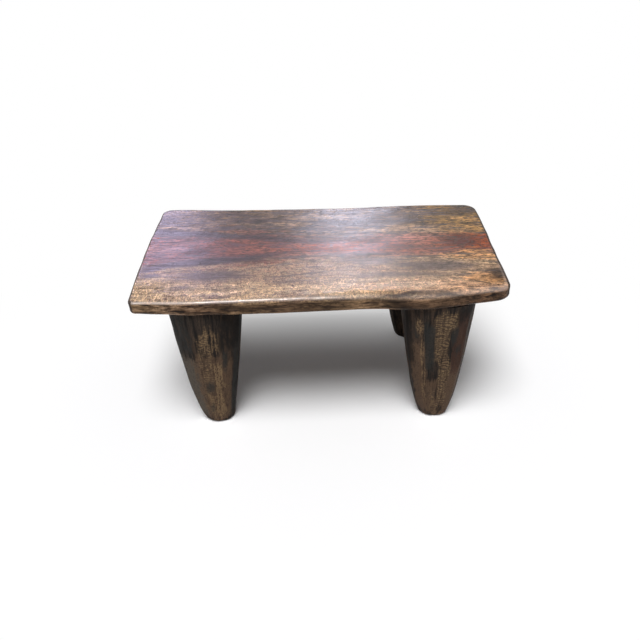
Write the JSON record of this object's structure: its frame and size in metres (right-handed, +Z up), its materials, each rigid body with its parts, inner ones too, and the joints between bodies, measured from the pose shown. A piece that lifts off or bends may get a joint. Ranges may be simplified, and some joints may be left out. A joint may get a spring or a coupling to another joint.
{
  "type": "low carved wooden stool",
  "caption": "Low rectangular wooden stool with a thick hand-shaped slab seat on fat tapering legs that are tenoned and wedged into its underside.",
  "frame": {"origin": "on the floor, under the middle of the seat's bounding box", "axes": "+X along the seat and its grain, -Y the front, +Z up"},
  "size_m": [0.601, 0.3364, 0.266],
  "materials": {
    "seat_wood": "oiled and hand-rubbed to a soft sheen",
    "leg_wood": "dark stain, worn and waxed",
    "wedge_wood": "raw riven wood"
  },
  "bodies": {
    "root": {"seat_slab": "seat_wood", "leg_front_left": "leg_wood", "leg_front_right": "leg_wood", "leg_back_left": "leg_wood", "leg_back_right": "leg_wood", "fox_wedge_front_left": "wedge_wood", "fox_wedge_front_right": "wedge_wood", "fox_wedge_back_left": "wedge_wood", "fox_wedge_back_right": "wedge_wood"}
  },
  "joints": []
}
